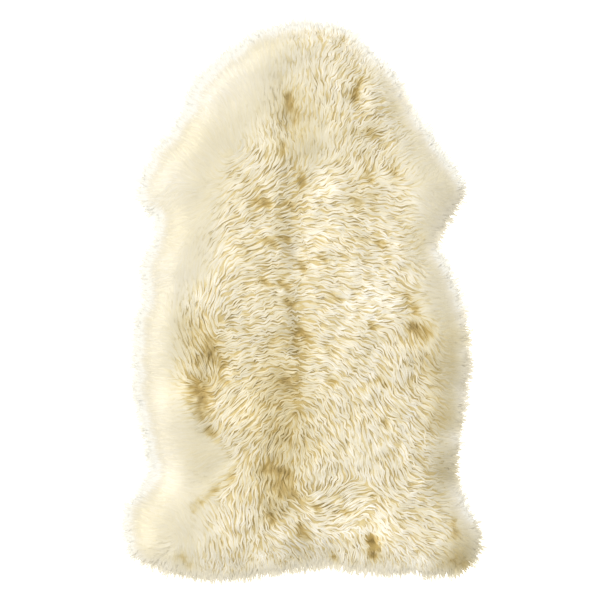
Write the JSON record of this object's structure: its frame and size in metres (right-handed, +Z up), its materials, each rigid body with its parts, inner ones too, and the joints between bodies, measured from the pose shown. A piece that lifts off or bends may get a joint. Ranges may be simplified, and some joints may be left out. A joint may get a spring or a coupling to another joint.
{
  "type": "sheepskin rug",
  "caption": "Whole sheepskin laid flat as a rug: a trimmed hide under a thick, lumpy cream fleece, with pointed wool locks round its rim.",
  "frame": {"origin": "on the floor, under the middle of the pelt's outer box", "axes": "+Z up out of the wool, +Y along the back towards the neck, +X to the pelt's right as seen from above"},
  "size_m": [0.5756, 0.8876, 0.0654],
  "materials": {
    "wool": "long cream wool in wavy locks, near white at the tips and golden at the roots, matt with a soft sheen",
    "hide": "tanned and buffed suede underside, matt"
  },
  "bodies": {
    "root": {"pelt": "wool"}
  },
  "joints": []
}
